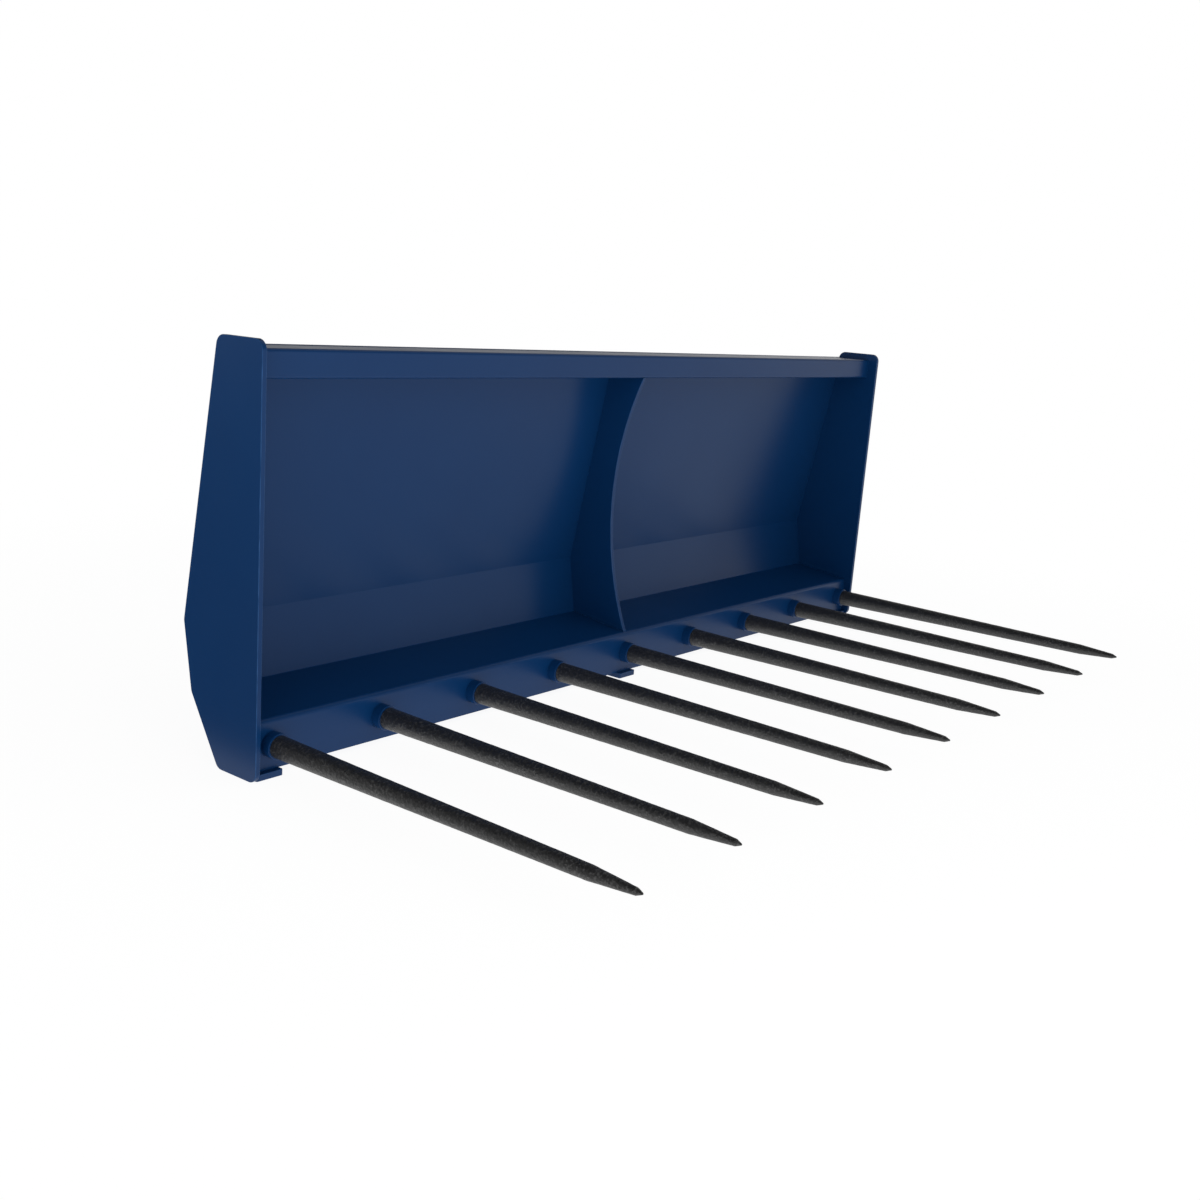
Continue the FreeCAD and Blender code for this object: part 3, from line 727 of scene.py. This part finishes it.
CAMERA_PLACE = (-2.06101, -1.54197, 0.72792)
CAMERA_TURN = (76.83712, -4.23367, -51.59029)
CAMERA_LENS, CAMERA_SENSOR = 40.3174, 36.0
CAMERA_SHIFT = (-0.001284, 0.007061)
WHITE = (1.0, 1.0, 1.0, 1.0)
FLOOR_DROP = 0.2 * MM
FLOOR_REACH = 30.0
FLOOR_MATT = (0.5, 0.5, 0.5, 1.0)
FLOOR_SHADE = (0.16, 0.16, 0.16, 1.0)
FLOOR_WHITE = 0.93
SHADE_END = (1.1, 2.2)
FLOOR_SPAN = 1.5
FLOOR_LEFT, FLOOR_RIGHT = 1.05, 0.25
FLOOR_SHINE, SHINE_START = 0.73, (-1.00, -0.91)
SIDE_GLOWS = (
    ((1.0, 0.0, 0.0), 0.70),
    ((-1.0, 0.0, 0.0), 0.26),
    ((0.0, -0.8, 0.6), 0.57),
    ((0.0, 1.0, 0.0), 0.35),
)
GLOW_FALL = 2.0
SKY_GLOW = 0.01
WALL_SHINE, SKY_SHINE, WALL_EDGE = 0.72, 0.02, (0.05, 0.35)
FAR_SHINE, FAR_SIDE, FAR_SPREAD, FAR_FALL = 0.42, (0.9994, 0.0349, 0.0), (0.6, 0.92), 4.0
LEVEL_PART = (1.0, 1.0, 0.0)
LAMPS = (
    ("front_lamp", (-0.9, -2.6, 0.5), (-0.6, 0.0, 0.2), 2.0, 0.8, 11.5),
    ("left_lamp", (-4.0, -1.0, 1.1), (0.0, 0.0, 0.3), 2.4, 2.0, 17.0),
)

floor_shape = bmesh.new()
bmesh.ops.create_grid(floor_shape, x_segments=1, y_segments=1, size=FLOOR_REACH)
bmesh.ops.translate(floor_shape, verts=floor_shape.verts, vec=(0.0, 0.0, -FLOOR_DROP))
floor_mesh = bpy.data.meshes.new("floor")
floor_shape.to_mesh(floor_mesh)
floor_shape.free()
floor = bpy.data.objects.new("floor", floor_mesh)
scene.collection.objects.link(floor)


def chosen_by_ray(tree, output, plain, mirrored, seen):
    """One shader for soft light, one for reflections and one for the camera."""
    path = add_node(tree, "ShaderNodeLightPath")
    choice = add_node(tree, "ShaderNodeMixShader", Fac=path.outputs["Is Glossy Ray"],
                      _1=plain, _2=mirrored)
    choice = add_node(tree, "ShaderNodeMixShader", Fac=path.outputs["Is Camera Ray"],
                      _1=choice.outputs["Shader"], _2=seen)
    tree.links.new(choice.outputs["Shader"], output.inputs["Surface"])


def glow(tree, strength):
    """A white glow."""
    return add_node(tree, "ShaderNodeEmission", Color=WHITE, Strength=strength).outputs["Emission"]


floor_material, tree, output = new_material("pale_floor")
place = add_node(tree, "ShaderNodeTexCoord").outputs["Object"]
far = add_node(tree, "ShaderNodeVectorMath", {"operation": "LENGTH"}, _0=place).outputs["Value"]
fade = add_node(tree, "ShaderNodeMapRange", {"interpolation_type": "SMOOTHSTEP"}, Value=far,
                From_Min=SHADE_END[0], From_Max=SHADE_END[1])
faint = add_node(tree, "ShaderNodeBsdfDiffuse", Color=FLOOR_SHADE)
shaded = add_node(tree, "ShaderNodeAddShader", _0=faint.outputs["BSDF"],
                  _1=glow(tree, FLOOR_WHITE))
seen = add_node(tree, "ShaderNodeMixShader", Fac=fade.outputs["Result"],
                _1=shaded.outputs["Shader"], _2=glow(tree, 1.0))
across = add_node(tree, "ShaderNodeSeparateXYZ", Vector=place).outputs["X"]
level = add_node(tree, "ShaderNodeMapRange", Value=across, From_Min=-FLOOR_SPAN,
                 From_Max=FLOOR_SPAN, To_Min=FLOOR_LEFT, To_Max=FLOOR_RIGHT).outputs["Result"]
matt = add_node(tree, "ShaderNodeBsdfDiffuse", Color=FLOOR_MATT)
plain = add_node(tree, "ShaderNodeAddShader", _0=matt.outputs["BSDF"], _1=glow(tree, level))
bright = add_node(tree, "ShaderNodeMapRange", {"interpolation_type": "SMOOTHSTEP"}, Value=across,
                  From_Min=SHINE_START[0], From_Max=SHINE_START[1], To_Max=FLOOR_SHINE)
chosen_by_ray(tree, output, plain.outputs["Shader"], glow(tree, bright.outputs["Result"]),
              seen.outputs["Shader"])
floor_material.cycles.emission_sampling = "NONE"
floor_mesh.materials.append(floor_material)


def sky(tree, strength):
    """A white part of the surround."""
    return add_node(tree, "ShaderNodeBackground", Color=WHITE,
                    Strength=strength).outputs["Background"]


def facing(tree, direction, side):
    """How far a direction looks towards a side, 1 for straight at it."""
    return add_node(tree, "ShaderNodeVectorMath", {"operation": "DOT_PRODUCT"}, _0=direction,
                    _1=side).outputs["Value"]


world = bpy.data.worlds.new("studio")
scene.world = world
world.use_nodes = True
tree = world.node_tree
tree.nodes.clear()
direction = add_node(tree, "ShaderNodeTexCoord").outputs["Generated"]
level_way = add_node(tree, "ShaderNodeVectorMath", {"operation": "MULTIPLY"}, _0=direction,
                     _1=LEVEL_PART)
level_way = add_node(tree, "ShaderNodeVectorMath", {"operation": "NORMALIZE"},
                     _0=level_way.outputs["Vector"]).outputs["Vector"]
toward = add_node(tree, "ShaderNodeMapRange", Value=facing(tree, level_way, FAR_SIDE),
                  From_Min=FAR_SPREAD[0], From_Max=FAR_SPREAD[1]).outputs["Result"]
height = add_node(tree, "ShaderNodeSeparateXYZ", Vector=direction).outputs["Z"]
wall = add_node(tree, "ShaderNodeMapRange", Value=height, From_Min=WALL_EDGE[0],
                From_Max=WALL_EDGE[1], To_Min=WALL_SHINE, To_Max=SKY_SHINE).outputs["Result"]
toward = math_node(tree, "POWER", toward, FAR_FALL)
wall = math_node(tree, "MULTIPLY_ADD", toward, FAR_SHINE, wall)
level = SKY_GLOW
for side, strength in SIDE_GLOWS:
    lit = math_node(tree, "MAXIMUM", facing(tree, direction, side), 0.0)
    lit = math_node(tree, "POWER", lit, GLOW_FALL)
    level = math_node(tree, "MULTIPLY_ADD", lit, strength, level)
surround = tree.nodes.new("ShaderNodeOutputWorld")
chosen_by_ray(tree, surround, sky(tree, level), sky(tree, wall), sky(tree, 1.0))

for name, place, aim, width, height, power in LAMPS:
    lamp = bpy.data.lights.new(name, "AREA")
    lamp.shape = "RECTANGLE"
    lamp.size = width
    lamp.size_y = height
    lamp.energy = power
    holder = bpy.data.objects.new(name, lamp)
    holder.location = place
    holder.rotation_euler = (Vector(aim) - Vector(place)).to_track_quat("-Z", "Y").to_euler()
    holder.visible_camera = False
    holder.visible_glossy = False
    scene.collection.objects.link(holder)

camera = bpy.data.cameras.new("camera")
camera.lens = CAMERA_LENS
camera.sensor_width = CAMERA_SENSOR
camera.shift_x, camera.shift_y = CAMERA_SHIFT
viewer = bpy.data.objects.new("camera", camera)
viewer.location = CAMERA_PLACE
viewer.rotation_euler = [math.radians(turn) for turn in CAMERA_TURN]
scene.collection.objects.link(viewer)
scene.camera = viewer
scene.view_settings.view_transform = "Standard"
